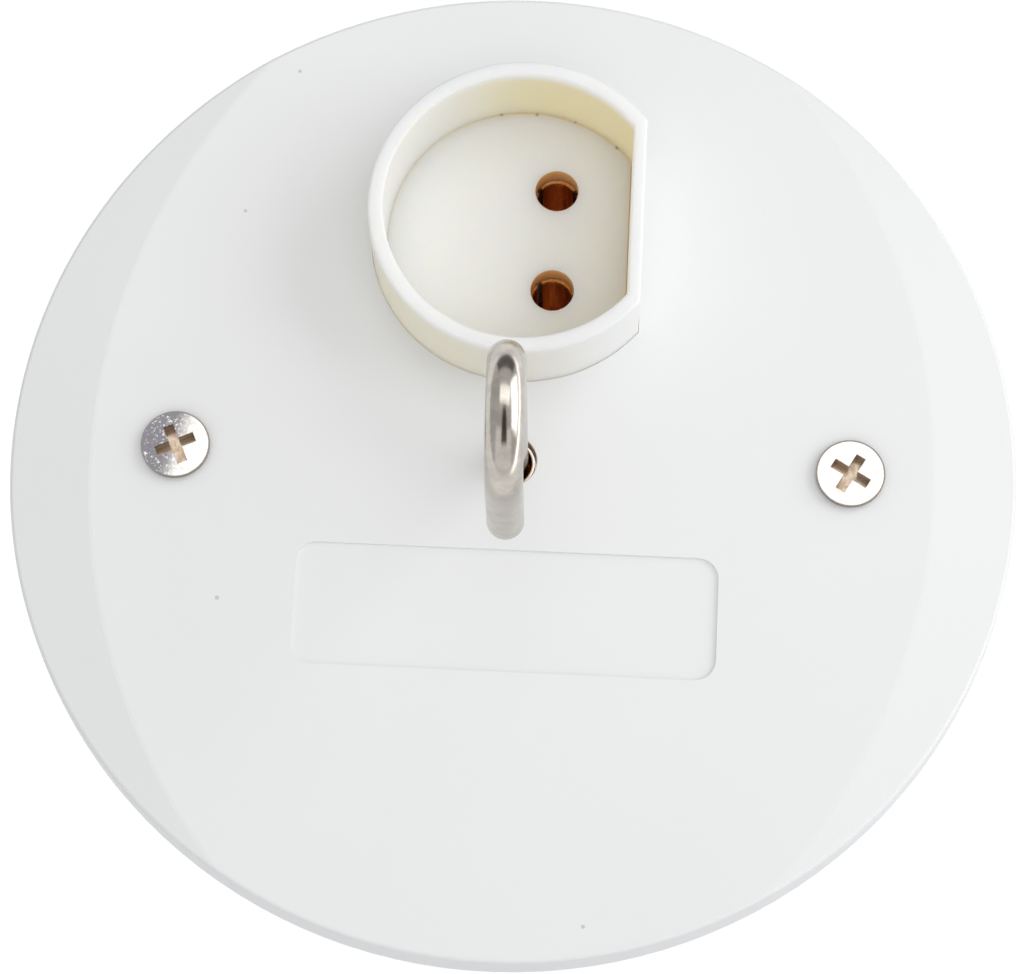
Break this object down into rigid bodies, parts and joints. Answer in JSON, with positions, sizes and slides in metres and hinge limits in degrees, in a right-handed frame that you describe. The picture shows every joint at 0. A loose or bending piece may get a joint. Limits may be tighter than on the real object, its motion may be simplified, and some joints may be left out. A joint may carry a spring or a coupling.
{
  "type": "ceiling box cover",
  "caption": "Round white cover for a ceiling box, with a D-shaped two-pole lamp socket, a steel lamp hook on a strap behind it, and countersunk fixing screws.",
  "frame": {"origin": "midway between the two fixing screws, in the plane of the rim's foot, which meets the ceiling", "axes": "+Z out of the ceiling plane into the room, +X along the two fixing screws, +Y from the hook towards the socket"},
  "size_m": [0.096, 0.096, 0.0602],
  "materials": {
    "cover_plastic": "moulded, satin gloss",
    "socket_plastic": "moulded, satin gloss, slightly ivory",
    "cap_plastic": "moulded, matt",
    "hook_metal": "polished nickel plate",
    "screw_metal": "bright nickel plate",
    "strap_metal": "zinc plate",
    "contact_metal": "turned brass",
    "keeper_fibre": "red-brown vulcanised fibre"
  },
  "bodies": {
    "root": {"cover_plate": "cover_plastic", "socket_housing": "socket_plastic", "contact_carrier": "socket_plastic", "terminal_chamber": "cap_plastic", "socket_back_cap": "cap_plastic", "hook_strap": "strap_metal", "hook_bush": "screw_metal", "ceiling_hook": "hook_metal", "hook_spring_washer": "strap_metal", "hook_lock_nut": "strap_metal", "contact_upper": "contact_metal", "contact_lower": "contact_metal", "terminal_screw_upper": "screw_metal", "terminal_screw_lower": "screw_metal", "cap_screw_left": "screw_metal", "cap_screw_right": "screw_metal", "socket_screw_left": "screw_metal", "socket_screw_right": "screw_metal", "fixing_screw_left": "screw_metal", "fixing_screw_right": "screw_metal", "screw_keeper_left": "keeper_fibre", "screw_keeper_right": "keeper_fibre"}
  },
  "joints": []
}
